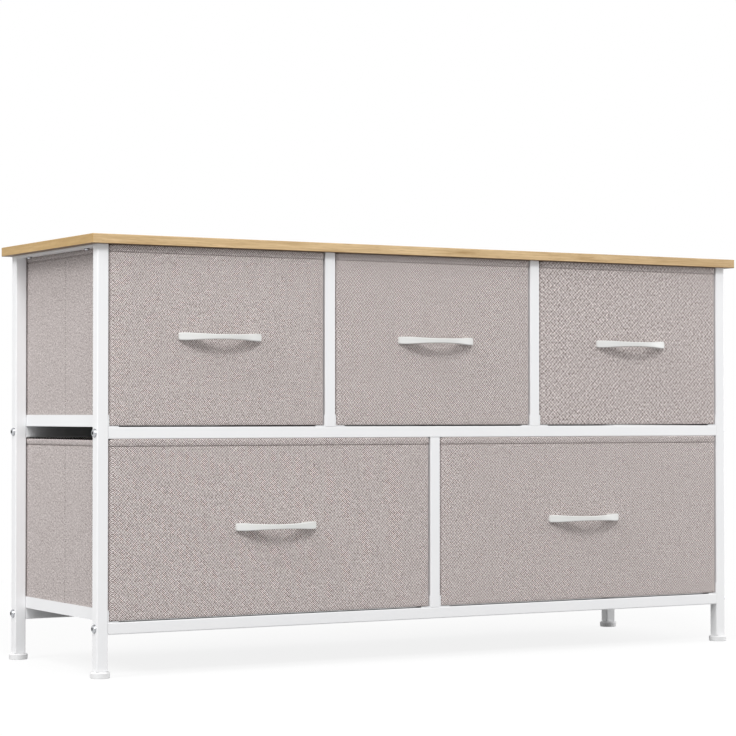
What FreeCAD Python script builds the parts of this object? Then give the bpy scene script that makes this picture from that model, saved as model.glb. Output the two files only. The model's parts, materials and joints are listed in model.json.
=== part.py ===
import FreeCAD, Part
import os
from FreeCAD import Placement, Rotation, Vector

# Fabric drawer dresser: a steel tube frame on four round feet carries a laminate top board.
# Three fabric drawers stand side by side in the upper row and two wider ones in the lower row.
# Each drawer rides on a pair of L-shaped runners and pulls straight out to the front. The
# runners also tie the front of the frame to the back.
#
# Millimetres. +X runs to the right, the front faces -Y and +Z is up. The origin is on the
# floor, under the middle of the whole dresser, from the handles to the back of the top board.

# ---- Driving dimensions ----------------------------------------------------------------

# Top board
TOP_LENGTH = 1000.0
TOP_DEPTH = 300.0
TOP_THICKNESS = 12.0
TOP_EDGE_EASE = 0.6
TOP_OVERHANG_SIDE = 11.0
TOP_OVERHANG_FRONT = 10.0

# Square steel tube, used for every leg, rail and post
TUBE = 15.0
TUBE_WALL = 1.0
TUBE_CORNER = 1.5

# Heights in the frame
FOOT_HEIGHT = 8.5
BOTTOM_RAIL_UNDERSIDE = 53.0
BAY_HEIGHT = 225.5

# Names of the drawers in each row, from left to right
UPPER_ROW = ("upper_left", "upper_middle", "upper_right")
LOWER_ROW = ("lower_left", "lower_right")

# Feet: a round glide with a plug that pushes into the leg
FOOT_DIAMETER = 25.0
FOOT_SOLE_DIAMETER = 24.4
FOOT_SOLE_EASE = 0.4
FOOT_TOP_EASE = 1.2
FOOT_PAD_HEIGHT = 1.0
FOOT_PAD_INSET = 0.3
FOOT_PAD_CORNER = 3.6
FOOT_PLUG_LENGTH = 16.0
FOOT_PLUG_TAPER = 1.5

# Bolts that hold the long rails between the legs
BOLT_DIAMETER = 6.0
BOLT_HEAD_DIAMETER = 11.0
BOLT_SHOULDER_DIAMETER = 9.6
BOLT_SHOULDER_HEIGHT = 2.0
BOLT_CROWN_DIAMETER = 6.4
BOLT_HEAD_HEIGHT = 3.2
BOLT_THREAD_IN_RAIL = 10.0
BOLT_SOCKET_WIDTH = 4.0
BOLT_SOCKET_DEPTH = 1.8
BOLT_HOLE_CLEARANCE = 0.3
RAIL_END_BLOCK = 12.0

# Plugs in the ends of the posts, with spigots that drop into holes in the rails
POST_PLUG_LENGTH = 8.0
SPIGOT_DIAMETER = 8.0
SPIGOT_LENGTH = 6.0
SPIGOT_CLEARANCE = 0.15

# Flat bars under the ends of the top board, and the tabs on the upper posts
END_BAR_WIDTH = 12.0
END_BAR_THICKNESS = 3.0
END_BAR_SCREW_INSET = 31.0
POST_TAB_LENGTH = 24.0
POST_TAB_THICKNESS = 2.0
POST_TAB_CORNER = 3.0

# Cross-head screws
SCREW_DIAMETER = 3.5
SCREW_HEAD_DIAMETER = 7.0
SCREW_RIM_HEIGHT = 1.1
SCREW_CROWN_DIAMETER = 4.6
SCREW_HEAD_HEIGHT = 2.3
SCREW_CROSS_LENGTH = 3.8
SCREW_CROSS_WIDTH = 0.9
SCREW_CROSS_DEPTH = 1.2
SCREW_IN_TOP = 8.0
SCREW_IN_HANDLE = 7.0
SCREW_HOLE_CLEARANCE = 0.2

# Gap between a thread or a plug and the hole that grips it
CLOSE_FIT = 0.03

# L-shaped drawer runners of folded sheet
RUNNER_SHEET = 1.2
RUNNER_FLANGE = 14.0
RUNNER_HEIGHT = 15.0
RUNNER_END_INSET = 0.5
RUNNER_STOP_HEIGHT = 12.0

# Running gaps round a closed drawer
DRAWER_SIDE_GAP = 0.6
DRAWER_BOTTOM_GAP = 0.3
DRAWER_TOP_GAP = 0.6
DRAWER_STOP_GAP = 0.3

# Fabric drawer
BIN_CORNER = 4.0
BIN_WALL = 2.4
BIN_FLOOR = 1.2
FRONT_SKIN = 1.2
FRONT_BOARD_THICKNESS = 4.0
FRONT_BOARD_DROP = 1.5
BOTTOM_BOARD_THICKNESS = 3.0
BOARD_FIT_GAP = 0.3

# Bow handle
HANDLE_LENGTH = 116.0
HANDLE_SCREW_SPACING = 96.0
HANDLE_REACH = 22.0
HANDLE_BAR = 5.0
HANDLE_END_HEIGHT = 9.6
HANDLE_END_LENGTH = 11.0
HANDLE_MIDDLE_HEIGHT = 6.1
HANDLE_END_FACE = 3.5
HANDLE_PAD_LENGTH = 17.0
HANDLE_CORNER = 2.4
HANDLE_EDGE_EASE = 0.8

# ---- Worked out from the driving dimensions --------------------------------------------

TUBE_BORE = TUBE - 2 * TUBE_WALL

FRAME_LEFT = -TOP_LENGTH / 2 + TOP_OVERHANG_SIDE
FRAME_RIGHT = -FRAME_LEFT
FRAME_DEPTH = TOP_DEPTH - 2 * TOP_OVERHANG_FRONT
FRONT_PROUD = max(HANDLE_REACH, TOP_OVERHANG_FRONT)
FRAME_FRONT = (FRONT_PROUD - FRAME_DEPTH - TOP_OVERHANG_FRONT) / 2
FRAME_BACK = FRAME_FRONT + FRAME_DEPTH

LOWER_FLOOR = BOTTOM_RAIL_UNDERSIDE + TUBE
UPPER_FLOOR = LOWER_FLOOR + BAY_HEIGHT + TUBE
TOP_UNDERSIDE = UPPER_FLOOR + BAY_HEIGHT

LEG_X = {"left": FRAME_LEFT + TUBE / 2, "right": FRAME_RIGHT - TUBE / 2}
TUBE_Y = {"front": FRAME_FRONT + TUBE / 2, "back": FRAME_BACK - TUBE / 2}
INWARD = {"front": 1, "back": -1}
RAIL_Z = {"bottom": LOWER_FLOOR - TUBE / 2, "mid": UPPER_FLOOR - TUBE / 2}

BAYS_LEFT = FRAME_LEFT + TUBE
BAYS_RIGHT = FRAME_RIGHT - TUBE

RUNNER_FRONT = FRAME_FRONT + RUNNER_END_INSET
RUNNER_BACK = FRAME_BACK - RUNNER_END_INSET
DRAWER_DEPTH = RUNNER_BACK - RUNNER_SHEET - DRAWER_STOP_GAP - FRAME_FRONT

FRONT_WALL = 2 * FRONT_SKIN + FRONT_BOARD_THICKNESS + BOARD_FIT_GAP

X = Vector(1, 0, 0)
Y = Vector(0, 1, 0)
Z = Vector(0, 0, 1)


# ---- Shared shapes ---------------------------------------------------------------------

def block(low, high):
    """Rectangular block between two opposite corners."""
    size = high - low
    return Part.makeBox(size.x, size.y, size.z, low)


def rod(diameter, start, end):
    """Round bar, or the drill for a round hole."""
    axis = end - start
    return Part.makeCylinder(diameter / 2, axis.Length, start, axis)


def rounded_rectangle(width, depth, corner):
    """Closed outline round the origin of the XY plane, with its corners rounded."""
    corners = []
    for side_x, side_y, start_angle in ((1, 1, 0), (-1, 1, 90), (-1, -1, 180), (1, -1, 270)):
        centre = Vector(side_x * (width / 2 - corner), side_y * (depth / 2 - corner), 0)
        corners.append(Part.makeCircle(corner, centre, Z, start_angle, start_angle + 90))
    sides = []
    for bend, next_bend in zip(corners, corners[1:] + corners[:1]):
        sides.append(Part.makeLine(bend.lastVertex().Point, next_bend.firstVertex().Point))
    return Part.Wire(Part.__sortEdges__(corners + sides))


def square(width):
    """Closed square outline round the origin of the XY plane."""
    half = width / 2
    corners = ((half, half), (-half, half), (-half, -half), (half, -half), (half, half))
    return Part.makePolygon([Vector(x, y, 0) for x, y in corners])


def prism(outline, start, end):
    """An XY outline, turned square to the line from start to end, and extruded along it."""
    axis = end - start
    face = Part.Face(outline)
    face.Placement = Placement(start, Rotation(Z, axis))
    return face.extrude(axis)


def turned(profile):
    """Solid of revolution about Z, from its profile as (radius, height) points."""
    points = [Vector(radius, 0, height) for radius, height in profile]
    outline = Part.makePolygon(points + points[:1])
    return Part.Face(outline).revolve(Vector(0, 0, 0), Z, 360)


def square_tube(start, end):
    """Hollow square tube with its centre line from start to end."""
    outside = prism(rounded_rectangle(TUBE, TUBE, TUBE_CORNER), start, end)
    return outside.cut(prism(square(TUBE_BORE), start, end))


def edges_where(shape, wanted):
    """The edges of a shape whose middle point passes a test."""
    return [edge for edge in shape.Edges if wanted(edge.CenterOfMass)]


def cross_screw(seat, direction, length):
    """Pan-head screw: its head sits on the seat and the shank runs along direction."""
    rim = SCREW_HEAD_DIAMETER / 2
    crown = SCREW_CROWN_DIAMETER / 2
    head = turned([
        (0, 0),
        (rim, 0),
        (rim, -SCREW_RIM_HEIGHT),
        (crown, -SCREW_HEAD_HEIGHT),
        (0, -SCREW_HEAD_HEIGHT),
    ])
    arm = SCREW_CROSS_LENGTH / 2
    half = SCREW_CROSS_WIDTH / 2
    recess_floor = SCREW_CROSS_DEPTH - SCREW_HEAD_HEIGHT
    for along_x, along_y in ((arm, half), (half, arm)):
        slot_low = Vector(-along_x, -along_y, -SCREW_HEAD_HEIGHT)
        head = head.cut(block(slot_low, Vector(along_x, along_y, recess_floor)))
    head.Placement = Placement(seat, Rotation(Z, direction))
    shank = rod(SCREW_DIAMETER, seat, seat + direction * length)
    return head.fuse(shank).removeSplitter()


# ---- Frame -----------------------------------------------------------------------------

def divider_positions(drawers):
    """X of the middle of each post that parts a row of drawers of one width."""
    pitch = (BAYS_RIGHT - BAYS_LEFT + TUBE) / len(drawers)
    return [BAYS_LEFT - TUBE / 2 + pitch * place for place in range(1, len(drawers))]


def screw_places():
    """Points on the underside of the top board where a screw enters it."""
    places = []
    for end, y in TUBE_Y.items():
        tube_face = y + INWARD[end] * TUBE / 2
        for x in end_bar_centres().values():
            places.append(Vector(x, tube_face + INWARD[end] * END_BAR_SCREW_INSET, TOP_UNDERSIDE))
        for x in divider_positions(UPPER_ROW):
            places.append(Vector(x, tube_face + INWARD[end] * POST_TAB_LENGTH / 2, TOP_UNDERSIDE))
    return places


def end_bar_centres():
    """X of the centre line of each flat bar, which is flush with the outside of the legs."""
    return {"left": FRAME_LEFT + END_BAR_WIDTH / 2, "right": FRAME_RIGHT - END_BAR_WIDTH / 2}


def top_board():
    """Laminate board with eased edges and a blind hole for each screw from below."""
    low = Vector(-TOP_LENGTH / 2, FRAME_FRONT - TOP_OVERHANG_FRONT, TOP_UNDERSIDE)
    board = block(low, low + Vector(TOP_LENGTH, TOP_DEPTH, TOP_THICKNESS))
    board = board.makeChamfer(TOP_EDGE_EASE, board.Edges)
    for place in screw_places():
        hole_end = place + Z * (SCREW_IN_TOP + CLOSE_FIT)
        board = board.cut(rod(SCREW_DIAMETER + 2 * CLOSE_FIT, place, hole_end))
    return board


def leg(x, y):
    """Upright from foot to top board, drilled right through for the two long-rail bolts."""
    upright = square_tube(Vector(x, y, FOOT_HEIGHT), Vector(x, y, TOP_UNDERSIDE))
    for z in RAIL_Z.values():
        centre = Vector(x, y, z)
        drill = rod(BOLT_DIAMETER + 2 * BOLT_HOLE_CLEARANCE, centre - X * TUBE, centre + X * TUBE)
        upright = upright.cut(drill)
    return upright


def end_bar(x):
    """Flat bar between the tops of a front and a back leg, with two screw holes."""
    half = END_BAR_WIDTH / 2
    low = Vector(x - half, FRAME_FRONT + TUBE, TOP_UNDERSIDE - END_BAR_THICKNESS)
    high = Vector(x + half, FRAME_BACK - TUBE, TOP_UNDERSIDE)
    bar = block(low, high)
    for place in screw_places():
        drill = rod(SCREW_DIAMETER + 2 * SCREW_HOLE_CLEARANCE, place - Z * 2 * END_BAR_THICKNESS, place + Z)
        bar = bar.cut(drill)
    return bar


def long_rail(y, level, holes_above, holes_below):
    """Tube between a left and a right leg, with a tapped block in each end and holes for the posts."""
    z = RAIL_Z[level]
    rail = square_tube(Vector(BAYS_LEFT, y, z), Vector(BAYS_RIGHT, y, z))
    for end_x, inward in ((BAYS_LEFT, X), (BAYS_RIGHT, -X)):
        end = Vector(end_x, y, z)
        end_block = prism(square(TUBE_BORE), end, end + inward * RAIL_END_BLOCK)
        tapping = rod(BOLT_DIAMETER + 2 * CLOSE_FIT, end, end + inward * RAIL_END_BLOCK)
        rail = rail.fuse(end_block.cut(tapping))
    for places, outward in ((holes_above, Z), (holes_below, -Z)):
        for x in places:
            centre = Vector(x, y, z)
            rail = rail.cut(rod(SPIGOT_DIAMETER + 2 * SPIGOT_CLEARANCE, centre, centre + outward * TUBE))
    return rail.removeSplitter()


def spigot_plug(end, outward):
    """Square plug in the end of a post, with the round spigot that stands out of it."""
    plug = prism(square(TUBE_BORE), end - outward * POST_PLUG_LENGTH, end)
    spigot = rod(SPIGOT_DIAMETER, end - outward * POST_PLUG_LENGTH, end + outward * SPIGOT_LENGTH)
    return plug.fuse(spigot)


def lower_post(x, y):
    """Post between the bottom rail and the mid rail, with a spigot at both ends."""
    foot_end = Vector(x, y, LOWER_FLOOR)
    head_end = Vector(x, y, LOWER_FLOOR + BAY_HEIGHT)
    post = square_tube(foot_end, head_end)
    return post.fuse([spigot_plug(foot_end, -Z), spigot_plug(head_end, Z)]).removeSplitter()


def upper_post(x, y, inward):
    """Post on the mid rail, with a spigot below and a tab under the top board that points inward."""
    foot_end = Vector(x, y, UPPER_FLOOR)
    post = square_tube(foot_end, Vector(x, y, TOP_UNDERSIDE))
    root = y + inward * TUBE / 2
    tip = root + inward * POST_TAB_LENGTH
    low = Vector(x - TUBE / 2 + TUBE_CORNER, min(root, tip), TOP_UNDERSIDE - POST_TAB_THICKNESS)
    high = Vector(x + TUBE / 2 - TUBE_CORNER, max(root, tip), TOP_UNDERSIDE)
    centre = (low + high) * 0.5
    tab = block(low, high)
    at_tip = edges_where(tab, lambda middle: (middle.y - centre.y) * inward > POST_TAB_LENGTH / 4)
    upright = [edge for edge in at_tip if abs(edge.CenterOfMass.z - centre.z) < POST_TAB_THICKNESS / 4]
    tab = tab.makeFillet(POST_TAB_CORNER, upright)
    drill = rod(SCREW_DIAMETER + 2 * SCREW_HOLE_CLEARANCE, centre - Z * TUBE, centre + Z * TUBE)
    return post.fuse([tab.cut(drill), spigot_plug(foot_end, -Z)]).removeSplitter()


def runner(face_x, side, floor):
    """Folded L: one flange stands against a leg or post, one lies on the rails, the back end is a stop."""
    inner_x = face_x + side * RUNNER_SHEET
    tip_x = face_x + side * RUNNER_FLANGE
    section = Part.makePolygon([
        Vector(face_x, 0, floor),
        Vector(tip_x, 0, floor),
        Vector(tip_x, 0, floor + RUNNER_SHEET),
        Vector(inner_x, 0, floor + RUNNER_SHEET),
        Vector(inner_x, 0, floor + RUNNER_HEIGHT),
        Vector(face_x, 0, floor + RUNNER_HEIGHT),
        Vector(face_x, 0, floor),
    ])
    section.translate(Y * RUNNER_FRONT)
    angle = Part.Face(section).extrude(Y * (RUNNER_BACK - RUNNER_FRONT))
    stop_low = Vector(min(face_x, tip_x), RUNNER_BACK - RUNNER_SHEET, floor)
    stop_high = Vector(max(face_x, tip_x), RUNNER_BACK, floor + RUNNER_STOP_HEIGHT)
    return angle.fuse(block(stop_low, stop_high)).removeSplitter()


def runners_beside(x, floor):
    """The two runners on the two faces of a post."""
    return Part.makeCompound([runner(x - TUBE / 2, -1, floor), runner(x + TUBE / 2, 1, floor)])


def foot(x, y):
    """Turned glide, the low rounded pad that the leg stands on, and the plug that holds it in the leg."""
    rim = FOOT_DIAMETER / 2
    sole = FOOT_SOLE_DIAMETER / 2
    disc_top = FOOT_HEIGHT - FOOT_PAD_HEIGHT
    glide = turned([
        (0, 0),
        (sole - FOOT_SOLE_EASE, 0),
        (sole, FOOT_SOLE_EASE),
        (rim, disc_top - FOOT_TOP_EASE),
        (rim - FOOT_TOP_EASE, disc_top),
        (0, disc_top),
    ])
    root = Vector(0, 0, FOOT_HEIGHT)
    pad_width = TUBE - 2 * FOOT_PAD_INSET
    pad = prism(rounded_rectangle(pad_width, pad_width, FOOT_PAD_CORNER), Vector(0, 0, disc_top), root)
    width = TUBE_BORE - 2 * CLOSE_FIT
    shoulder = root + Z * (FOOT_PLUG_LENGTH - FOOT_PLUG_TAPER)
    plug = prism(square(width), root, shoulder)
    wide = square(width)
    wide.translate(shoulder)
    narrow = square(width - 2 * FOOT_PLUG_TAPER)
    narrow.translate(root + Z * FOOT_PLUG_LENGTH)
    tip = Part.makeLoft([wide, narrow], True, True)
    glide = glide.fuse([pad, plug, tip]).removeSplitter()
    glide.translate(Vector(x, y, 0))
    return glide


def frame_bolt(seat, inward):
    """Button-head bolt with a hexagon socket, from the outside of a leg into the rail behind it."""
    head = turned([
        (0, 0),
        (BOLT_HEAD_DIAMETER / 2, 0),
        (BOLT_SHOULDER_DIAMETER / 2, -BOLT_SHOULDER_HEIGHT),
        (BOLT_CROWN_DIAMETER / 2, -BOLT_HEAD_HEIGHT),
        (0, -BOLT_HEAD_HEIGHT),
    ])
    mouth = -Z * BOLT_HEAD_HEIGHT
    head = head.cut(prism(hexagon(BOLT_SOCKET_WIDTH), mouth, mouth + Z * BOLT_SOCKET_DEPTH))
    head.Placement = Placement(seat, Rotation(Z, inward))
    shank = rod(BOLT_DIAMETER, seat, seat + inward * (TUBE + BOLT_THREAD_IN_RAIL))
    return head.fuse(shank).removeSplitter()


def hexagon(across_flats):
    """Regular hexagon round the origin of the XY plane."""
    corner = Vector(across_flats / 3 ** 0.5, 0, 0)
    points = [Rotation(Z, 60 * turn).multVec(corner) for turn in range(7)]
    return Part.makePolygon(points)


# ---- Drawers ---------------------------------------------------------------------------

def drawer_bays():
    """For each drawer, its name and the clear bay that it stands in."""
    bays = []
    for row, floor in ((UPPER_ROW, UPPER_FLOOR), (LOWER_ROW, LOWER_FLOOR)):
        lefts = [BAYS_LEFT] + [x + TUBE / 2 for x in divider_positions(row)]
        rights = [x - TUBE / 2 for x in divider_positions(row)] + [BAYS_RIGHT]
        for name, left, right in zip(row, lefts, rights):
            bays.append((name, left, right, floor))
    return bays


def drawer_box(left, right, floor):
    """Low and high corner of a closed drawer in its bay."""
    side = RUNNER_SHEET + DRAWER_SIDE_GAP
    low = Vector(left + side, FRAME_FRONT, floor + RUNNER_SHEET + DRAWER_BOTTOM_GAP)
    high = Vector(right - side, FRAME_FRONT + DRAWER_DEPTH, floor + BAY_HEIGHT - DRAWER_TOP_GAP)
    return low, high


def rounded_box(low, high, corner):
    """Box with its four upright edges rounded."""
    middle = (low + high) * 0.5
    outline = rounded_rectangle(high.x - low.x, high.y - low.y, corner)
    return prism(outline, Vector(middle.x, middle.y, low.z), Vector(middle.x, middle.y, high.z))


def handle_screw_points(low, high):
    """Where the two handle screws cross the outside of the drawer's front."""
    middle = (low + high) * 0.5
    return [Vector(middle.x + side * HANDLE_SCREW_SPACING / 2, low.y, middle.z) for side in (-1, 1)]


def drill_for_handle(shape, low, high):
    """Cut the two handle screws' clearance holes through a part of the front wall."""
    for point in handle_screw_points(low, high):
        drill = rod(SCREW_DIAMETER + 2 * SCREW_HOLE_CLEARANCE, point - Y, point + Y * (FRONT_WALL + 1))
        shape = shape.cut(drill)
    return shape


def fabric_bin(low, high):
    """Sewn drawer: stiffened walls, a floor, and a pocket in the front wall for its board."""
    shell = rounded_box(low, high, BIN_CORNER)
    inner_low = Vector(low.x + BIN_WALL, low.y + FRONT_WALL, low.z + BIN_FLOOR)
    inner_high = Vector(high.x - BIN_WALL, high.y - BIN_WALL, high.z)
    pocket_low = Vector(low.x + BIN_WALL, low.y + FRONT_SKIN, low.z + BIN_FLOOR)
    pocket_high = Vector(high.x - BIN_WALL, low.y + FRONT_WALL - FRONT_SKIN, high.z)
    shell = shell.cut([block(inner_low, inner_high), block(pocket_low, pocket_high)])
    return drill_for_handle(shell, low, high)


def front_board(low, high):
    """Board that stiffens the front, standing in its pocket."""
    side = BIN_WALL + BOARD_FIT_GAP
    skin = FRONT_SKIN + BOARD_FIT_GAP / 2
    board_low = Vector(low.x + side, low.y + skin, low.z + BIN_FLOOR)
    board_high = Vector(high.x - side, low.y + skin + FRONT_BOARD_THICKNESS, high.z - FRONT_BOARD_DROP)
    return drill_for_handle(block(board_low, board_high), low, high)


def bottom_board(low, high):
    """Loose board that lies on the fabric floor inside the drawer."""
    side = BIN_WALL + BOARD_FIT_GAP
    board_low = Vector(low.x + side, low.y + FRONT_WALL + BOARD_FIT_GAP, low.z + BIN_FLOOR)
    board_high = Vector(high.x - side, high.y - side, low.z + BIN_FLOOR + BOTTOM_BOARD_THICKNESS)
    return block(board_low, board_high)


def arc(start, middle, end):
    """Edge of the circle through three points."""
    return Part.Arc(start, middle, end).toShape()


def bow_plan():
    """The bow seen from above: two flat pads on the front of the drawer and an arch between them."""
    end = HANDLE_LENGTH / 2
    pad = end - HANDLE_PAD_LENGTH
    outer_left = Vector(-end, -HANDLE_END_FACE, 0)
    outer_right = Vector(end, -HANDLE_END_FACE, 0)
    edges = [
        Part.makeLine(Vector(-end, 0, 0), outer_left),
        arc(outer_left, Vector(0, -HANDLE_REACH, 0), outer_right),
        Part.makeLine(outer_right, Vector(end, 0, 0)),
        Part.makeLine(Vector(end, 0, 0), Vector(pad, 0, 0)),
        arc(Vector(pad, 0, 0), Vector(0, HANDLE_BAR - HANDLE_REACH, 0), Vector(-pad, 0, 0)),
        Part.makeLine(Vector(-pad, 0, 0), Vector(-end, 0, 0)),
    ]
    return Part.Wire(edges)


def bow_elevation():
    """The bow seen from the front: two ends of one height, a waist between them, rounded corners."""
    end = HANDLE_LENGTH / 2
    tall = HANDLE_END_HEIGHT / 2
    waist = Vector(0, 0, HANDLE_MIDDLE_HEIGHT / 2)
    waist_start = end - HANDLE_END_LENGTH
    corner_x = end - HANDLE_CORNER
    corner_z = tall - HANDLE_CORNER
    edges = [
        arc(Vector(-waist_start, 0, tall), waist, Vector(waist_start, 0, tall)),
        arc(Vector(-waist_start, 0, -tall), -waist, Vector(waist_start, 0, -tall)),
    ]
    for side_x in (-1, 1):
        edges.append(Part.makeLine(Vector(side_x * end, 0, -corner_z), Vector(side_x * end, 0, corner_z)))
        for side_z in (-1, 1):
            flat_end = Vector(side_x * waist_start, 0, side_z * tall)
            edges.append(Part.makeLine(flat_end, Vector(side_x * corner_x, 0, side_z * tall)))
    for side_x, side_z, start_angle in ((1, 1, 0), (-1, 1, 90), (-1, -1, 180), (1, -1, 270)):
        centre = Vector(side_x * corner_x, 0, side_z * corner_z)
        edges.append(Part.makeCircle(HANDLE_CORNER, centre, -Y, start_angle, start_angle + 90))
    return Part.Wire(Part.__sortEdges__(edges))


def handle(low, high):
    """Moulded bow handle on the middle of the drawer's front, with blind holes for its screws."""
    plan = Part.Face(bow_plan()).extrude(Z * HANDLE_END_HEIGHT)
    plan.translate(-Z * HANDLE_END_HEIGHT / 2)
    elevation = Part.Face(bow_elevation()).extrude(-Y * 2 * HANDLE_REACH)
    bow = plan.common(elevation).removeSplitter()
    clear_of_drawer = -HANDLE_EDGE_EASE / 2
    bow = bow.makeChamfer(HANDLE_EDGE_EASE, edges_where(bow, lambda middle: middle.y < clear_of_drawer))
    middle = (low + high) * 0.5
    bow.translate(Vector(middle.x, low.y, middle.z))
    for point in handle_screw_points(low, high):
        hole_end = point - Y * (SCREW_IN_HANDLE + CLOSE_FIT)
        bow = bow.cut(rod(SCREW_DIAMETER + 2 * CLOSE_FIT, point, hole_end))
    return bow


def handle_screws(low, high):
    """The two screws, from inside the drawer through the front wall into the handle."""
    screws = []
    for point in handle_screw_points(low, high):
        screws.append(cross_screw(point + Y * FRONT_WALL, -Y, FRONT_WALL + SCREW_IN_HANDLE))
    return Part.makeCompound(screws)


# ---- All the nodes ---------------------------------------------------------------------

def frame_nodes():
    nodes = {"top_board": top_board()}
    for end, y in TUBE_Y.items():
        for side, x in LEG_X.items():
            nodes[f"leg_{end}_{side}"] = leg(x, y)
            nodes[f"foot_{end}_{side}"] = foot(x, y)
    for side, x in end_bar_centres().items():
        nodes[f"end_bar_{side}"] = end_bar(x)
    upper_dividers = divider_positions(UPPER_ROW)
    lower_dividers = divider_positions(LOWER_ROW)
    for end, y in TUBE_Y.items():
        nodes[f"rail_bottom_{end}"] = long_rail(y, "bottom", lower_dividers, [])
        nodes[f"rail_mid_{end}"] = long_rail(y, "mid", upper_dividers, lower_dividers)
        for number, x in enumerate(upper_dividers, 1):
            nodes[f"post_upper_{end}_{number}"] = upper_post(x, y, INWARD[end])
        for number, x in enumerate(lower_dividers, 1):
            nodes[f"post_lower_{end}_{number}"] = lower_post(x, y)
    return nodes


def runner_nodes():
    nodes = {}
    for row, drawers, floor in (("upper", UPPER_ROW, UPPER_FLOOR), ("lower", LOWER_ROW, LOWER_FLOOR)):
        nodes[f"runner_{row}_left"] = runner(BAYS_LEFT, 1, floor)
        nodes[f"runner_{row}_right"] = runner(BAYS_RIGHT, -1, floor)
        for number, x in enumerate(divider_positions(drawers), 1):
            nodes[f"runners_{row}_divider_{number}"] = runners_beside(x, floor)
    return nodes


def fastener_nodes():
    bolts = []
    for y in TUBE_Y.values():
        for z in RAIL_Z.values():
            bolts.append(frame_bolt(Vector(FRAME_LEFT, y, z), X))
            bolts.append(frame_bolt(Vector(FRAME_RIGHT, y, z), -X))
    bar_screws = []
    tab_screws = []
    for place in screw_places():
        under_bar = abs(place.x) > BAYS_RIGHT
        thickness = END_BAR_THICKNESS if under_bar else POST_TAB_THICKNESS
        screw = cross_screw(place - Z * thickness, Z, thickness + SCREW_IN_TOP)
        (bar_screws if under_bar else tab_screws).append(screw)
    return {
        "frame_bolts": Part.makeCompound(bolts),
        "top_screws_bar": Part.makeCompound(bar_screws),
        "top_screws_post": Part.makeCompound(tab_screws),
    }


def drawer_nodes():
    nodes = {}
    for name, left, right, floor in drawer_bays():
        low, high = drawer_box(left, right, floor)
        nodes[f"fabric_bin_{name}"] = fabric_bin(low, high)
        nodes[f"front_board_{name}"] = front_board(low, high)
        nodes[f"bottom_board_{name}"] = bottom_board(low, high)
        nodes[f"handle_{name}"] = handle(low, high)
        nodes[f"handle_screws_{name}"] = handle_screws(low, high)
    return nodes


os.makedirs("parts", exist_ok=True)
for nodes in (frame_nodes(), runner_nodes(), fastener_nodes(), drawer_nodes()):
    for name, shape in nodes.items():
        shape.exportStep(f"parts/{name}.step")
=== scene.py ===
import json
import math
from collections import namedtuple
import bmesh
import bpy
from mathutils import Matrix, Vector, noise


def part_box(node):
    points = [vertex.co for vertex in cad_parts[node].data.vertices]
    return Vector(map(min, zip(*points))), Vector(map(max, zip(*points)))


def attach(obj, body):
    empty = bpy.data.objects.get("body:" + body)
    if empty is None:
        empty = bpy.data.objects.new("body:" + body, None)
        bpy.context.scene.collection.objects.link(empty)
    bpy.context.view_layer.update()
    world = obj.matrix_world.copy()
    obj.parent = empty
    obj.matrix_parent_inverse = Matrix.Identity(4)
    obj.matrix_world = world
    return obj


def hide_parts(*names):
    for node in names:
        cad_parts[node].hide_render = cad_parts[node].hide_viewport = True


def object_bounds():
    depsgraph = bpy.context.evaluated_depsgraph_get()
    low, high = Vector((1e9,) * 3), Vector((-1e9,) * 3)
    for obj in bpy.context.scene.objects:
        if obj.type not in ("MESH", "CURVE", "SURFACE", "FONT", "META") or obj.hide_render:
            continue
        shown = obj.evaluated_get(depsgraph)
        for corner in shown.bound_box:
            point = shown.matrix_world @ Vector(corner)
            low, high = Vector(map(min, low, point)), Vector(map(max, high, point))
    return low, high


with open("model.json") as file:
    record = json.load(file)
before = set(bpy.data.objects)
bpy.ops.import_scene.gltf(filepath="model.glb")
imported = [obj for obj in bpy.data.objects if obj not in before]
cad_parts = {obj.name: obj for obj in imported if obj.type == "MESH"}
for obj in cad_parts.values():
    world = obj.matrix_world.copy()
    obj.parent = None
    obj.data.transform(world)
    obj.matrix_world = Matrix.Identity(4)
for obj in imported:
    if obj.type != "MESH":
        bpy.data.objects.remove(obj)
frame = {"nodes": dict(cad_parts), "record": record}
cad_box = [list(corner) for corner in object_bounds()]

# Fabric drawer dresser. The frame, the board, the handles and the fasteners keep their CAD
# meshes and get materials here. The five fabric drawers are modelled here as sewn shells.
# Everything is in metres: +X to the right, the fronts face -Y, +Z up.

MM = 0.001

# ---- Drawer sizes ----------------------------------------------------------------------

BIN_CORNER = 4.0 * MM
LINING_CORNER = 1.5 * MM
BIN_WALL = 2.4 * MM
FRONT_WALL = 6.7 * MM
BIN_FLOOR = 1.2 * MM
HEM_HEIGHT = 8.2 * MM
HEM_PROUD = 0.65 * MM
HEM_TUCK = 1.1 * MM
HEM_TUCK_HEIGHT = 0.9 * MM
HEM_STITCH_DROP = 7.7 * MM
SIDE_RIM_DROP = 1.0 * MM
FRONT_RIM_RISE = 0.45 * MM

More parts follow.
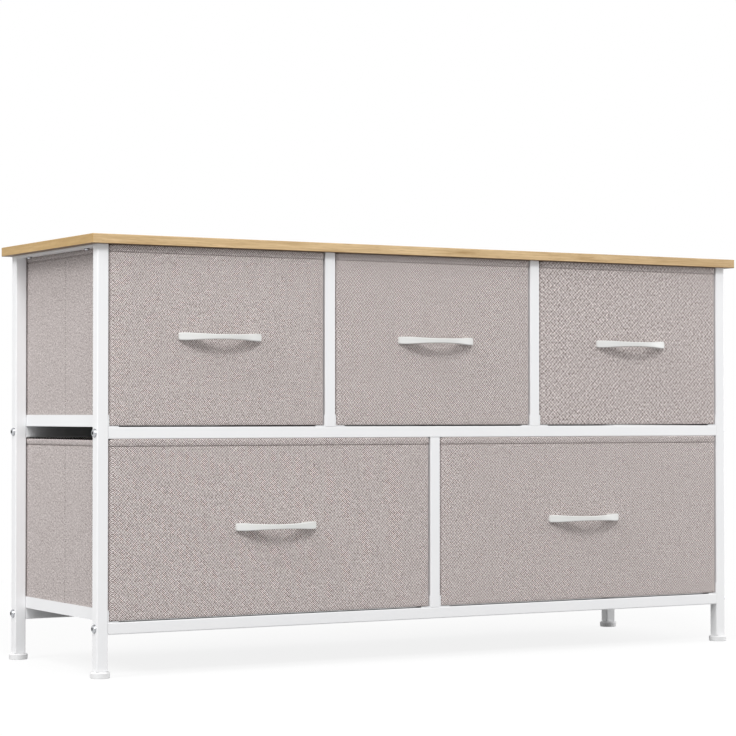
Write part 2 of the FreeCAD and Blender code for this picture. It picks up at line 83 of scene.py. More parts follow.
# Profiles of the sewn edges, as (height, offset outward) from the level that each starts at:
# the underside, the lower edge of the hem, its row of stitches, the rim and the inside floor
BOTTOM_EDGE = ((0.0, -1.3 * MM), (0.35 * MM, -0.4 * MM), (1.3 * MM, 0.0))
HEM_EDGE = (
    (-HEM_TUCK_HEIGHT - 0.7 * MM, 0.0),
    (-HEM_TUCK_HEIGHT, -0.2 * MM),
    (-0.6 * HEM_TUCK_HEIGHT, -HEM_TUCK),
    (-0.1 * HEM_TUCK_HEIGHT, -HEM_TUCK),
    (0.0, HEM_PROUD - 0.2 * MM),
    (0.2 * MM, HEM_PROUD),
)
STITCH_LINE = ((0.0, HEM_PROUD - 0.3 * MM), (0.5 * MM, HEM_PROUD))
RIM_OUTSIDE = (
    (-1.1 * MM, HEM_PROUD),
    (-0.25 * MM, HEM_PROUD - 0.15 * MM),
    (0.0, HEM_PROUD - 0.7 * MM),
)
RIM_INSIDE = ((0.0, 1.0 * MM), (-0.35 * MM, 0.2 * MM), (-1.1 * MM, 0.0))
LINING_SET_BACK = 0.4 * MM
LINING_TOP = ((0.3 * MM, 0.0), (0.0, 0.15 * MM), (-0.3 * MM, LINING_SET_BACK))
FLOOR_EDGE = ((0.8 * MM, 0.3 * MM), (0.0, -0.6 * MM))
PANEL_START = 5.0 * MM
PANEL_END = 4.0 * MM

# Shape of the panels between the edges, and how finely the shell is divided. The tuck of a side's
# seam grows to its full depth over the first twelfth of the panel's height.
SIDE_CROWN = 0.9 * MM
SIDE_SEAM_TUCK = 0.25 * MM
SIDE_SEAM_WIDTH = 1.2 * MM
SIDE_SEAM_START = 12.0
PANEL_RIPPLE = 0.25 * MM
RIPPLE_SIZE = 60 * MM
STEPS_ACROSS = 30
STEPS_DEEP = 40
STEPS_CORNER = 5
SEAM_STOPS = (-2.4 * MM, -1.2 * MM, -0.6 * MM, 0.0, 0.6 * MM, 1.2 * MM, 2.4 * MM)
ROWS_UP = 22
# Rows at the bottom edge covered by the dark cloth, a painted shade line
SHADED_BOTTOM_ROWS = 1

# Stitches
STITCH_PITCH = 2.75 * MM
STITCH_LENGTH = 1.9 * MM
STITCH_WIDTH = 0.55 * MM
STITCH_RISE = 0.25 * MM
SEAM_STITCH_LENGTH = 1.3 * MM
SEAM_STITCH_WIDTH = 1.1 * MM
STITCH_SIDES = 6
STITCH_SHOULDER = 0.3
HEM_STITCH_SINK = 0.15 * MM
SEAM_STITCH_STAND = 0.1 * MM
SEAM_BOTTOM_GAP = 3.0 * MM
SEAM_TOP_GAP = 2.0 * MM

# Weave: the spacing of the yarns and of the figure woven over them, how far and how quickly they
# wander, how much the yarns differ, and the grain of the flecks and the fuzz (scales per metre)
YARN_PITCH = 1.32 * MM
FIGURE_WIDTH = 1.735 * MM
FIGURE_HEIGHT = 2.264 * MM
WEAVE_SWAY = 1.2 * MM
SWAY_SCALE_ACROSS = 70
SWAY_SCALE_UP = 60
YARN_VARIATION = 1.2
FLECK_SCALE = 480
FUZZ_SCALE = 2600
FUZZ_CONTRAST = 0.5

# For each drawer: how far its cloth is stretched sideways and upwards, and how strong the plain
# weave, the figure and the flecks are
Cloth = namedtuple("Cloth", "stretch_across stretch_up plain figure fleck")
CLOTHS = {
    "upper_left": Cloth(1.0, 1.0, plain=1.05, figure=0.55, fleck=1.2),
    "upper_middle": Cloth(1.25, 1.15, plain=0.72, figure=0.55, fleck=1.2),
    "upper_right": Cloth(1.7, 1.45, plain=0.4, figure=0.36, fleck=1.15),
    "lower_left": Cloth(1.2, 1.0, plain=1.15, figure=0.55, fleck=1.0),
    "lower_right": Cloth(1.25, 1.0, plain=0.7, figure=0.52, fleck=1.2),
}


# ---- Looks -----------------------------------------------------------------------------

# Colours, each pair from its dark end to its light end

POWDER_COAT = ((0.84, 0.845, 0.86, 1), (0.89, 0.89, 0.895, 1))
FOOT_PLASTIC = (0.84, 0.84, 0.845)
HANDLE_PLASTIC = (0.72, 0.725, 0.71)
ZINC = ((0.40, 0.41, 0.43, 1), (0.60, 0.61, 0.63, 1))
# Painted shade: the near-black that zinc turns in its recesses
ZINC_PAINTED_SHADE = (0.05, 0.05, 0.055, 1)
FIBREBOARD = ((0.20, 0.12, 0.065, 1), (0.50, 0.34, 0.20, 1))
OAK = ((0.40, 0.25, 0.10, 1), (0.76, 0.555, 0.31, 1))
OAK_PORE = (0.25, 0.14, 0.055, 1)
OAK_END = (0.38, 0.215, 0.03, 1)
# Painted shade: the dark brown of the board's faces turned down
OAK_SHADED_UNDERSIDE = ((0.10, 0.05, 0.018, 1), (0.22, 0.125, 0.05, 1))
FABRIC = ((0.045, 0.010, 0.002, 1), (0.92, 0.85, 0.832, 1))
# Painted shade: the near-black cloth under the drawers and along their lowest edge
SHADED_BOTTOM_FIBRES = ((0.012, 0.010, 0.009, 1), (0.040, 0.034, 0.031, 1))
THREAD_TWIST = ((0.06, 0.05, 0.047, 1), (0.18, 0.15, 0.14, 1))
FLOOR_BOUNCE = ((0.37, 0.37, 0.37, 1), (0.39, 0.39, 0.39, 1))
FLOOR_SEEN = (0.94, 0.94, 0.94, 1)
WHITE = (1, 1, 1, 1)

# How dark a moulding gets, how near the walls of a recess stand where zinc gets its painted shade,
# how far the grain of the oak wanders, and how strongly its parts show
PLASTIC_DRIFT = 0.965
PAINTED_SHADE_REACH = 3.0 * MM
GRAIN_WANDER = 50.0 * MM
BROAD_GRAIN = 0.6
FINE_GRAIN = 0.4
PORE_STRENGTH = 0.5
END_STRENGTH = 0.55

# A face is turned along an axis when more than this much of its unit normal lies along it
FACING = 0.7


# ---- Material nodes --------------------------------------------------------------------

class Graph:
    """Adds nodes to the emptied tree of a new material or world."""

    def __init__(self, owner):
        owner.use_nodes = True
        self.owner = owner
        self.tree = owner.node_tree
        self.tree.nodes.clear()

    def node(self, kind, inputs=None, **settings):
        """New node with its inputs set or linked, and its own settings."""
        node = self.tree.nodes.new(kind)
        for name, value in settings.items():
            setattr(node, name, value)
        for name, value in (inputs or {}).items():
            self.feed(node.inputs[name], value)
        return node

    def feed(self, socket, value):
        """Links an output to the socket, or sets the socket to a plain value."""
        if isinstance(value, bpy.types.NodeSocket):
            self.tree.links.new(value, socket)
        else:
            socket.default_value = value

    def math(self, operation, *values, clamp=False):
        node = self.node("ShaderNodeMath", operation=operation, use_clamp=clamp)
        for socket, value in zip(node.inputs, values):
            self.feed(socket, value)
        return node.outputs[0]

    def blend(self, factor, first, second):
        """Colour between first at factor 0 and second at factor 1."""
        node = self.node("ShaderNodeMix", data_type="RGBA")
        for place, value in ((0, factor), (6, first), (7, second)):
            self.feed(node.inputs[place], value)
        return node.outputs[2]

    def between(self, factor, low, high):
        """Number from low at factor 0 to high at factor 1."""
        node = self.node("ShaderNodeMapRange", {"Value": factor, "To Min": low, "To Max": high})
        return node.outputs[0]

    def within(self, value, low, high, **settings):
        """Where a value lies in a range, from 0 at low to 1 at high."""
        inputs = {"Value": value, "From Min": low, "From Max": high}
        return self.node("ShaderNodeMapRange", inputs, **settings).outputs[0]

    def noise(self, place, scale, detail=2.0, roughness=0.5):
        inputs = {"Vector": place, "Scale": scale, "Detail": detail, "Roughness": roughness}
        return self.node("ShaderNodeTexNoise", inputs).outputs["Fac"]

    def centred(self, value):
        """A number from 0 to 1, moved to lie about 0."""
        return self.math("SUBTRACT", value, 0.5)

    def vector(self, x, y, z=0.0):
        return self.node("ShaderNodeCombineXYZ", {"X": x, "Y": y, "Z": z}).outputs[0]

    def parts(self, vector):
        return self.node("ShaderNodeSeparateXYZ", {"Vector": vector}).outputs

    def stretched(self, place, x, y, z):
        """Place with each axis multiplied by a factor of its own."""
        node = self.node("ShaderNodeVectorMath", operation="MULTIPLY")
        self.feed(node.inputs[0], place)
        self.feed(node.inputs[1], (x, y, z))
        return node.outputs[0]

    def object_place(self):
        return self.node("ShaderNodeTexCoord").outputs["Object"]

    def bump(self, height, distance, strength):
        inputs = {"Height": height, "Distance": distance, "Strength": strength}
        return self.node("ShaderNodeBump", inputs).outputs[0]

    def surface(self, **inputs):
        """Finishes a material with one shader, whose inputs are named with underscores."""
        named = {name.replace("_", " "): value for name, value in inputs.items()}
        shader = self.node("ShaderNodeBsdfPrincipled", named)
        self.node("ShaderNodeOutputMaterial", {"Surface": shader.outputs[0]})
        return self.owner


def material_graph(name):
    return Graph(bpy.data.materials.new(name))


def powder_coat():
    """White powder coat: a fine orange peel and a slightly uneven gloss."""
    graph = material_graph("white powder coat")
    place = graph.object_place()
    peel = graph.noise(place, scale=900, detail=2)
    drift = graph.noise(place, scale=14, detail=3)
    return graph.surface(
        Base_Color=graph.blend(drift, *POWDER_COAT),
        Roughness=graph.between(graph.noise(place, scale=60, detail=3), low=0.30, high=0.42),
        Normal=graph.bump(peel, distance=0.05 * MM, strength=0.35),
        Coat_Weight=0.25,
        Coat_Roughness=0.2,
    )


def moulded_plastic(name, colour, roughness):
    """Moulded plastic with a faint spark-eroded grain."""
    graph = material_graph(name)
    place = graph.object_place()
    grain = graph.noise(place, scale=1500, detail=3, roughness=0.6)
    drift = graph.noise(place, scale=40, detail=2)
    low = tuple(channel * PLASTIC_DRIFT for channel in colour) + (1,)
    high = colour + (1,)
    return graph.surface(
        Base_Color=graph.blend(drift, low, high),
        Roughness=graph.between(grain, low=roughness - 0.06, high=roughness + 0.08),
        Normal=graph.bump(grain, distance=0.03 * MM, strength=0.5),
        Subsurface_Weight=0.04,
        Subsurface_Radius=(0.6 * MM, 0.6 * MM, 0.6 * MM),
        Subsurface_Scale=1.0,
    )


def zinc_plate():
    """Bright zinc on steel: slightly cloudy, with painted shade that darkens it in the recesses."""
    graph = material_graph("bright zinc")
    place = graph.object_place()
    cloud = graph.noise(place, scale=260, detail=4, roughness=0.6)
    clean = graph.blend(cloud, *ZINC)
    # Painted shade: ambient occlusion turns the colour dark where walls stand close
    openness = graph.node("ShaderNodeAmbientOcclusion", {"Distance": PAINTED_SHADE_REACH}).outputs["AO"]
    unshaded_share = graph.within(openness, low=0.5, high=0.95)
    return graph.surface(
        Base_Color=graph.blend(unshaded_share, ZINC_PAINTED_SHADE, clean),
        Metallic=1.0,
        Roughness=graph.between(cloud, low=0.16, high=0.34),
        Normal=graph.bump(graph.noise(place, scale=2200, detail=2), distance=0.02 * MM, strength=0.4),
    )


def fibreboard():
    """Raw brown fibreboard: matted fibres in every direction."""
    graph = material_graph("raw fibreboard")
    place = graph.object_place()
    fibres = graph.noise(graph.stretched(place, 1, 4, 4), scale=260, detail=5, roughness=0.7)
    crossing = graph.noise(graph.stretched(place, 4, 1, 4), scale=260, detail=5, roughness=0.7)
    mat = graph.math("MULTIPLY_ADD", crossing, 0.5, graph.math("MULTIPLY", fibres, 0.5))
    return graph.surface(
        Base_Color=graph.blend(graph.between(mat, low=-0.6, high=1.6), *FIBREBOARD),
        Roughness=0.86,
        Normal=graph.bump(mat, distance=0.12 * MM, strength=0.7),
    )


def oak_laminate():
    """Light oak print with its grain along each edge, and painted shade below: dark brown on the
    faces turned down.
    """
    graph = material_graph("light oak laminate")
    coordinates = graph.node("ShaderNodeTexCoord")
    x, y, z = graph.parts(coordinates.outputs["Object"])[:]
    facing = graph.parts(coordinates.outputs["Normal"])
    end_face = graph.math("GREATER_THAN", graph.math("ABSOLUTE", facing[0]), FACING)
    along = graph.between(end_face, x, y)
    across = graph.between(end_face, y, x)
    place = graph.vector(along, across, z)
    wander = graph.noise(graph.stretched(place, 2.2, 16, 16), scale=1.0, detail=3, roughness=0.55)
    shifted = graph.vector(along, graph.math("MULTIPLY_ADD", wander, GRAIN_WANDER, across), z)
    broad = graph.noise(graph.stretched(shifted, 3.0, 150, 150), scale=1.0, detail=4, roughness=0.6)
    fine = graph.noise(graph.stretched(shifted, 14, 520, 520), scale=1.0, detail=3, roughness=0.65)
    pores = graph.noise(graph.stretched(shifted, 60, 1500, 1500), scale=1.0, detail=2, roughness=0.5)
    pore_lines = graph.within(pores, low=0.58, high=0.74)
    grain = graph.math("MULTIPLY_ADD", broad, BROAD_GRAIN, graph.math("MULTIPLY", fine, FINE_GRAIN))
    wood = graph.blend(graph.within(grain, low=0.32, high=0.67), *OAK)
    wood = graph.blend(graph.math("MULTIPLY", pore_lines, PORE_STRENGTH), wood, OAK_PORE)
    wood = graph.blend(graph.math("MULTIPLY", end_face, END_STRENGTH), wood, OAK_END)
    # Painted shade: faces turned down take the dark brown instead of the oak
    underside = graph.math("LESS_THAN", facing[2], -FACING)
    shaded_underside = graph.blend(fine, *OAK_SHADED_UNDERSIDE)
    height = graph.math("SUBTRACT", graph.math("MULTIPLY", fine, 0.5), pore_lines)
    return graph.surface(
        Base_Color=graph.blend(underside, wood, shaded_underside),
        Roughness=graph.between(fine, low=0.42, high=0.56),
        Normal=graph.bump(height, distance=0.06 * MM, strength=0.6),
    )


def woven_fabric(drawer):
    """Linen-look cloth: a fine plain weave with a coarser figure in it, in the UV map in metres."""
    graph = material_graph(f"woven fabric {drawer}")
    cloth = CLOTHS[drawer]
    flat = graph.node("ShaderNodeUVMap", uv_map="weave").outputs[0]
    u, v = graph.parts(flat)[:2]
    sway_across = graph.centred(graph.noise(flat, SWAY_SCALE_ACROSS, detail=1))
    sway_up = graph.centred(graph.noise(flat, SWAY_SCALE_UP, detail=1))
    u = graph.math("MULTIPLY_ADD", sway_across, WEAVE_SWAY, u)
    v = graph.math("MULTIPLY_ADD", sway_up, WEAVE_SWAY, v)

    def checks(across, along):
        """Alternating checks of the given spacing, from -1 to 1."""
        return graph.math(
            "MULTIPLY",
            graph.math("SINE", graph.math("MULTIPLY", u, math.pi / across)),
            graph.math("SINE", graph.math("MULTIPLY", v, math.pi / along)),
        )

    plain = checks(YARN_PITCH, YARN_PITCH)
    figure = checks(FIGURE_WIDTH, FIGURE_HEIGHT)
    column = graph.math("FLOOR", graph.math("DIVIDE", u, YARN_PITCH))
    row = graph.math("FLOOR", graph.math("DIVIDE", v, YARN_PITCH))
    crossing = graph.vector(column, row)
    yarn = graph.node("ShaderNodeTexWhiteNoise", {"Vector": crossing}).outputs["Value"]
    weakest = cloth.plain * (1 - YARN_VARIATION / 2)
    strongest = cloth.plain * (1 + YARN_VARIATION / 2)
    strength = graph.between(yarn, weakest, strongest)
    fleck = graph.centred(graph.noise(flat, scale=FLECK_SCALE, detail=0))
    fuzz = graph.noise(flat, scale=FUZZ_SCALE, detail=3, roughness=0.7)
    tone = graph.math("MULTIPLY", plain, strength)
    tone = graph.math("MULTIPLY_ADD", figure, cloth.figure, tone)
    tone = graph.math("MULTIPLY_ADD", fleck, cloth.fleck, tone)
    tone = graph.math("MULTIPLY_ADD", graph.centred(fuzz), FUZZ_CONTRAST, tone)
    shade = graph.math("MULTIPLY_ADD", tone, 0.5, 0.5, clamp=True)
    crossings = graph.math("POWER", graph.math("ABSOLUTE", plain), 0.5)
    height = graph.math("MULTIPLY_ADD", fuzz, 0.25, crossings)
    return graph.surface(
        Base_Color=graph.blend(shade, *FABRIC),
        Roughness=0.92,
        Specular_IOR_Level=0.2,
        Sheen_Weight=0.15,
        Sheen_Roughness=0.5,
        Normal=graph.bump(height, distance=0.15 * MM, strength=0.5),
    )


def shaded_bottom_cloth():
    """Dark non-woven cloth under the floor of a drawer and along its lowest edge: painted shade."""
    graph = material_graph("bottom cloth painted shade")
    place = graph.object_place()
    fibres = graph.noise(place, scale=900, detail=4, roughness=0.65)
    return graph.surface(
        Base_Color=graph.blend(fibres, *SHADED_BOTTOM_FIBRES),
        Roughness=0.95,
        Specular_IOR_Level=0.1,
        Normal=graph.bump(fibres, distance=0.1 * MM, strength=0.6),
    )


def sewing_thread():
    """Twisted polyester thread, a little darker than the fabric."""
    graph = material_graph("sewing thread")
    place = graph.object_place()
    twist = graph.noise(place, scale=4200, detail=2)
    return graph.surface(
        Base_Color=graph.blend(twist, *THREAD_TWIST),
        Roughness=0.7,
        Normal=graph.bump(twist, distance=0.05 * MM, strength=0.5),
    )


FABRICS = {drawer: woven_fabric(drawer) for drawer in CLOTHS}
MATERIALS = {
    "oak_laminate": oak_laminate(),
    "white_powder_coat": powder_coat(),
    "white_foot_plastic": moulded_plastic("white foot plastic", FOOT_PLASTIC, roughness=0.5),
    "white_handle_plastic": moulded_plastic("white handle plastic", HANDLE_PLASTIC, roughness=0.42),
    "zinc_steel": zinc_plate(),
    "drawer_fabric": FABRICS["upper_left"],
    "fibreboard": fibreboard(),
}
THREAD = sewing_thread()
SHADED_BOTTOM_CLOTH = shaded_bottom_cloth()

for subpart in frame["record"]["subparts"]:
    for slot in frame["nodes"][subpart["node"]].material_slots:
        slot.material = MATERIALS[subpart["material_slot"]]


# ---- Fabric drawers --------------------------------------------------------------------

def rounded_ring(low, high, corner, seam):
    """Points round a rectangle from its front left, with their outward directions.

    The points lie closest together beside the seam in each side.
    """
    left, front = low.x, low.y
    right, back = high.x, high.y
    sides = (
        ((left + corner, front), (right - corner, front), (0, -1), STEPS_ACROSS),
        ((right, front + corner), (right, back - corner), (1, 0), STEPS_DEEP),
        ((right - corner, back), (left + corner, back), (0, 1), STEPS_ACROSS),
        ((left, back - corner), (left, front + corner), (-1, 0), STEPS_DEEP),
    )
    ring = []
    for start, end, outward, steps in sides:
        start, end = Vector((*start, 0)), Vector((*end, 0))
        places = [start.lerp(end, step / steps) for step in range(steps + 1)]
        if outward[0]:
            places += [Vector((start.x, seam + stop, 0)) for stop in SEAM_STOPS]
            places.sort(key=lambda place: (place - start).length)
        for place in places:
            ring.append((place, Vector((*outward, 0))))
        centre = end - Vector((*outward, 0)) * corner
        first = math.atan2(outward[1], outward[0])
        for step in range(1, STEPS_CORNER):
            angle = first + step / STEPS_CORNER * math.pi / 2
            direction = Vector((math.cos(angle), math.sin(angle), 0))
            ring.append((centre + direction * corner, direction))
    return ring


def ring_lengths(ring):
    """Distance along a ring to each of its points, and once round to the first again."""
    lengths = [0.0]
    places = [point for point, _ in ring]
    for here, there in zip(places, places[1:] + places[:1]):
        lengths.append(lengths[-1] + (there - here).length)
    return lengths


def side_seam_y(low, high):
    """Y of the upright seam in the middle of each side."""
    return (low.y + high.y) / 2


def slack(low, high, point, outward, z):
    """How far the outside of a wall stands out from a flat one."""
    rise = min(max((z - low.z) / (high.z - HEM_HEIGHT - low.z), 0.0), 1.0)
    hold = math.sin(math.pi * rise)
    ripple = noise.noise(Vector((point.x, point.y, z)) / RIPPLE_SIZE) * PANEL_RIPPLE
    seam = side_seam_y(low, high)
    if point.y < seam:
        along = (point.y - low.y) / (seam - low.y)
    else:
        along = (high.y - point.y) / (high.y - seam)
    crown = SIDE_CROWN * math.sin(math.pi * min(max(along, 0.0), 1.0)) * abs(outward.x)
    near_seam = math.exp(-((point.y - seam) / SIDE_SEAM_WIDTH) ** 2)
    tuck = SIDE_SEAM_TUCK * near_seam * abs(outward.x) * min(rise * SIDE_SEAM_START, 1.0)
    return (crown + ripple) * hold - tuck


def rim_shift(high, outward, z):
    """How far a point of the hem is raised: the front and back stand up and the sides sag."""
    share = min(max((z - high.z + HEM_HEIGHT) / HEM_HEIGHT, 0.0), 1.0)
    return (FRONT_RIM_RISE * abs(outward.y) - SIDE_RIM_DROP * abs(outward.x)) * share


def profile_rows(level, profile):
    """Heights and offsets of a profile that starts at a level."""
    return [(level + height, offset) for height, offset in profile]


def outside_rows(low, high):
    """Heights and offsets of the rings up the outside, from the bottom edge to the rim."""
    hem = high.z - HEM_HEIGHT
    first = low.z + PANEL_START
    last = hem - PANEL_END
    rows = profile_rows(low.z, BOTTOM_EDGE)
    for step in range(ROWS_UP + 1):
        rows.append((first + (last - first) * step / ROWS_UP, 0.0))
    rows += profile_rows(hem, HEM_EDGE)
    rows += profile_rows(high.z - HEM_STITCH_DROP, STITCH_LINE)
    rows += profile_rows(high.z, RIM_OUTSIDE)
    return rows


def inside_rows(low, high):
    """Heights and offsets of the rings down the inside, from the rim to the floor."""
    hem = high.z - HEM_HEIGHT
    floor = low.z + BIN_FLOOR
    rows = profile_rows(high.z, RIM_INSIDE) + profile_rows(hem, LINING_TOP)
    for step in range(1, ROWS_UP):
        rows.append((hem + (floor - hem) * step / ROWS_UP, LINING_SET_BACK))
    return rows + profile_rows(floor, FLOOR_EDGE)


def fabric_bin(drawer):
    """Sewn shell of one drawer: walls, folded hem, lining and floor, with a UV map in metres."""
    low, high = (Vector(corner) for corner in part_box(f"fabric_bin_{drawer}"))
    seam = side_seam_y(low, high)
    outer = rounded_ring(low, high, BIN_CORNER, seam)
    inner_low = low + Vector((BIN_WALL, FRONT_WALL, 0))
    inner_high = high - Vector((BIN_WALL, BIN_WALL, 0))
    inner = rounded_ring(inner_low, inner_high, LINING_CORNER, seam)
    around = [length / CLOTHS[drawer].stretch_across for length in ring_lengths(outer)]

    shell = bmesh.new()
    weave = shell.loops.layers.uv.new("weave")
    rings = []
    for z, offset in outside_rows(low, high):
        ring = []
        for point, outward in outer:
            reach = offset + slack(low, high, point, outward, z)
            height = Vector((0, 0, z + rim_shift(high, outward, z)))
            ring.append(shell.verts.new(point + outward * reach + height))
        rings.append(ring)
    for z, offset in inside_rows(low, high):
        ring = []
        for point, outward in inner:
            height = Vector((0, 0, z + rim_shift(high, outward, z)))
            ring.append(shell.verts.new(point + outward * offset + height))
        rings.append(ring)

    climb = [0.0]
    for lower, upper in zip(rings, rings[1:]):
        climb.append(climb[-1] + (upper[0].co - lower[0].co).length / CLOTHS[drawer].stretch_up)
    count = len(outer)
    for row, (lower, upper) in enumerate(zip(rings, rings[1:])):
        for place in range(count):
            following = (place + 1) % count
            face = shell.faces.new((lower[place], lower[following], upper[following], upper[place]))
            face.smooth = True
            face.material_index = 1 if row < SHADED_BOTTOM_ROWS else 0
            corners = ((place, row), (place + 1, row), (place + 1, row + 1), (place, row + 1))
            for loop, (u, v) in zip(face.loops, corners):
                loop[weave].uv = (around[u], climb[v])
    for ring, order in ((rings[0], -1), (rings[-1], 1)):
        face = shell.faces.new(ring[::order])
        for loop in face.loops:
            loop[weave].uv = loop.vert.co.xy
        face.material_index = 1 if ring is rings[0] else 0
        for edge in face.edges:
            edge.smooth = False
    piece = finished_piece(shell, f"fabric_drawer_{drawer}", FABRICS[drawer])
    # The underside and the lowest row get the dark cloth, painted shade
    piece.data.materials.append(SHADED_BOTTOM_CLOTH)
    return piece


def finished_piece(mesh, name, material):
    """Turns a bmesh into an object in the scene."""
    data = bpy.data.meshes.new(name)
    mesh.to_mesh(data)
    mesh.free()
    data.materials.append(material)
    piece = bpy.data.objects.new(name, data)
    bpy.context.collection.objects.link(piece)
    return piece


def add_stitch(mesh, middle, along, outward, length, width):
    """One plump stitch: a short bead that tapers into the cloth at both ends."""
    across = along.cross(outward)
    shoulder = along * length * STITCH_SHOULDER
    tips = []
    for end in (-0.5, 0.5):
        tips.append(mesh.verts.new(middle + along * length * end - outward * STITCH_RISE))
    loops = []
    for end in (-1, 1):
        loop = []
        for step in range(STITCH_SIDES):
            angle = step * 2 * math.pi / STITCH_SIDES
            spread = across * math.cos(angle) * width / 2 + outward * math.sin(angle) * STITCH_RISE
            loop.append(mesh.verts.new(middle + shoulder * end + spread))
        loops.append(loop)
    for step in range(STITCH_SIDES):
        following = (step + 1) % STITCH_SIDES
        faces = (
            (tips[0], loops[0][following], loops[0][step]),
            (loops[0][step], loops[0][following], loops[1][following], loops[1][step]),
            (tips[1], loops[1][step], loops[1][following]),
        )
        for corners in faces:
            mesh.faces.new(corners).smooth = True


def stitching(drawer):
    """The stitches round the hem and up the seam of each side."""
    low, high = (Vector(corner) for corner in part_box(f"fabric_bin_{drawer}"))
    thread = bmesh.new()
    seam = side_seam_y(low, high)
    ring = rounded_ring(low, high, BIN_CORNER, seam)
    lengths = ring_lengths(ring)
    z = high.z - HEM_STITCH_DROP
    count = int(lengths[-1] / STITCH_PITCH)
    segment = 0
    for number in range(count):
        distance = (number + 0.5) * lengths[-1] / count
        while lengths[segment + 1] < distance:
            segment += 1
        start, outward = ring[segment]
        end, next_outward = ring[(segment + 1) % len(ring)]
        share = (distance - lengths[segment]) / (lengths[segment + 1] - lengths[segment])
        facing = outward.lerp(next_outward, share).normalized()
        along = Vector((-facing.y, facing.x, 0))
        point = start.lerp(end, share) + facing * (HEM_PROUD - HEM_STITCH_SINK) + Vector((0, 0, z))
        add_stitch(thread, point, along, facing, STITCH_LENGTH, STITCH_WIDTH)
    first = low.z + SEAM_BOTTOM_GAP
    last = high.z - HEM_HEIGHT - SEAM_TOP_GAP
    count = int((last - first) / STITCH_PITCH)
    for wall, facing in ((low.x, Vector((-1, 0, 0))), (high.x, Vector((1, 0, 0)))):
        for number in range(count + 1):
            height = first + (last - first) * number / count
            place = Vector((wall, seam, 0))
            reach = slack(low, high, place, facing, height) + SEAM_STITCH_STAND
            point = place + facing * reach + Vector((0, 0, height))
            upward = Vector((0, 0, 1))
            add_stitch(thread, point, upward, facing, SEAM_STITCH_LENGTH, SEAM_STITCH_WIDTH)
    bmesh.ops.recalc_face_normals(thread, faces=thread.faces)
    return finished_piece(thread, f"stitching_{drawer}", THREAD)


for drawer in CLOTHS:
    shell = fabric_bin(drawer)
    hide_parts(f"fabric_bin_{drawer}")
    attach(shell, f"drawer_{drawer}")
    seams = stitching(drawer)
    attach(seams, f"drawer_{drawer}")


# ---- Floor, light and camera -----------------------------------------------------------

# Distances in metres, angles in degrees, powers in watts. The floor's shadow is full within
# SHADOW_FULL of the middle and gone beyond SHADOW_GONE.
FLOOR_HALF = 12.0
FLOOR_SHADOW_SHARE = 0.14
SHADOW_FULL = 0.6
SHADOW_GONE = 1.5
AMBIENT = 0.64
KEY_AZIMUTH = 25.0
KEY_ELEVATION = 39.0
KEY_DISTANCE = 4.5
KEY_SIZE = 1.0
KEY_POWER = 79.0
FILL_AZIMUTH = 78.0
FILL_ELEVATION = 38.5
FILL_DISTANCE = 4.0
FILL_SIZE = 1.4
FILL_POWER = 65.0
RIGHT_AZIMUTH = -75.0
RIGHT_ELEVATION = 10.0
RIGHT_DISTANCE = 2.2
RIGHT_SIZE = 1.2
RIGHT_POWER = 17.0

# Heading in degrees to the right of straight back, pitch in degrees upward
CAMERA_PLACE = (-1.6765, -2.8180, 0.3237)
CAMERA_HEADING = 30.3657
CAMERA_PITCH = 1.1251
FOCAL_PIXELS = 2375.356
FRAME_PIXELS = 736
SENSOR = 36.0
VIEW_DEPTH = 60.0


def white_floor():
    """Pale floor: white in view with a slight shadow near the object, and grey to bounced light."""
    graph = material_graph("pale floor")
    place = graph.object_place()
    rays = graph.node("ShaderNodeLightPath").outputs
    seen = graph.math("MAXIMUM", rays["Is Camera Ray"], rays["Is Glossy Ray"])
    seen = graph.math("MAXIMUM", seen, rays["Is Transmission Ray"])
    mottle = graph.blend(graph.noise(place, scale=3, detail=2), *FLOOR_BOUNCE)
    colour = graph.blend(seen, mottle, FLOOR_SEEN)
    matt = graph.node("ShaderNodeBsdfDiffuse", {"Color": colour}).outputs[0]
    glow = graph.node("ShaderNodeEmission", {"Color": WHITE, "Strength": 1.0}).outputs[0]
    reach = graph.node("ShaderNodeVectorMath", {0: place}, operation="LENGTH").outputs["Value"]
    away = graph.within(reach, SHADOW_FULL, SHADOW_GONE, interpolation_type="SMOOTHSTEP")
    share = graph.math("MULTIPLY", seen, graph.between(away, low=1 - FLOOR_SHADOW_SHARE, high=1.0))
    mixed = graph.node("ShaderNodeMixShader")
    for number, value in enumerate((share, matt, glow)):
        graph.feed(mixed.inputs[number], value)
    graph.node("ShaderNodeOutputMaterial", {"Surface": mixed.outputs[0]})
    return graph.owner


def floor():
    """Large level square under the feet, which isn't part of the object."""
    mesh = bmesh.new()
    corners = ((-1, -1), (1, -1), (1, 1), (-1, 1))
    mesh.faces.new([mesh.verts.new((x * FLOOR_HALF, y * FLOOR_HALF, 0)) for x, y in corners])
    plane = finished_piece(mesh, "floor", white_floor())


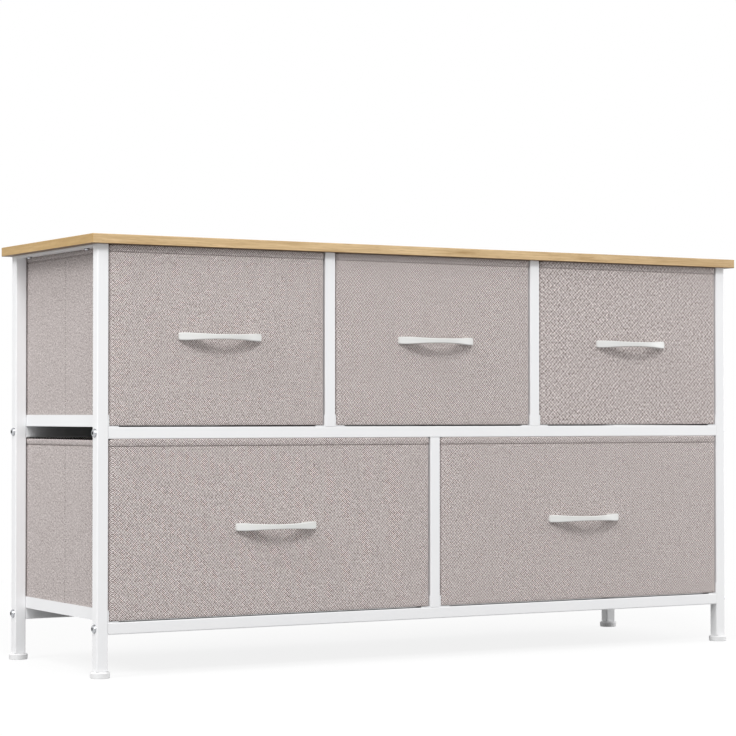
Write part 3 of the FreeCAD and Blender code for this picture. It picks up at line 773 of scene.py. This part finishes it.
def surroundings():
    """White behind everything, and an even soft light on the object."""
    graph = Graph(bpy.data.worlds.new("surroundings"))
    rays = graph.node("ShaderNodeLightPath").outputs
    shiny = graph.math("ADD", rays["Is Glossy Ray"], rays["Is Transmission Ray"])
    seen = graph.math("ADD", rays["Is Camera Ray"], shiny, clamp=True)
    strength = graph.between(seen, low=AMBIENT, high=1.0)
    background = graph.node("ShaderNodeBackground", {"Color": WHITE, "Strength": strength})
    graph.node("ShaderNodeOutputWorld", {"Surface": background.outputs[0]})
    bpy.context.scene.world = graph.owner


def softbox(name, azimuth, elevation, distance, size, power):
    """Square lamp aimed at the object; azimuth is to the left of straight in front."""
    low, high = (Vector(corner) for corner in cad_box)
    target = (low + high) / 2
    flat = math.cos(math.radians(elevation))
    direction = Vector((
        -flat * math.sin(math.radians(azimuth)),
        -flat * math.cos(math.radians(azimuth)),
        math.sin(math.radians(elevation)),
    ))
    lamp = bpy.data.lights.new(name, "AREA")
    lamp.shape = "SQUARE"
    lamp.size = size
    lamp.energy = power
    holder = bpy.data.objects.new(name, lamp)
    holder.location = target + direction * distance
    holder.rotation_euler = direction.to_track_quat("Z", "Y").to_euler()
    bpy.context.collection.objects.link(holder)


def camera():
    """The camera of the picture, found from the edges in it."""
    lens = bpy.data.cameras.new("camera")
    lens.sensor_width = SENSOR
    lens.lens = FOCAL_PIXELS / FRAME_PIXELS * SENSOR
    lens.clip_end = VIEW_DEPTH
    holder = bpy.data.objects.new("camera", lens)
    holder.location = CAMERA_PLACE
    holder.rotation_euler = (math.radians(90 + CAMERA_PITCH), 0, math.radians(-CAMERA_HEADING))
    bpy.context.collection.objects.link(holder)
    bpy.context.scene.camera = holder


floor()
surroundings()
softbox("key", KEY_AZIMUTH, KEY_ELEVATION, KEY_DISTANCE, KEY_SIZE, KEY_POWER)
softbox("fill", FILL_AZIMUTH, FILL_ELEVATION, FILL_DISTANCE, FILL_SIZE, FILL_POWER)
softbox("right", RIGHT_AZIMUTH, RIGHT_ELEVATION, RIGHT_DISTANCE, RIGHT_SIZE, RIGHT_POWER)
camera()
bpy.context.scene.view_settings.view_transform = "Standard"
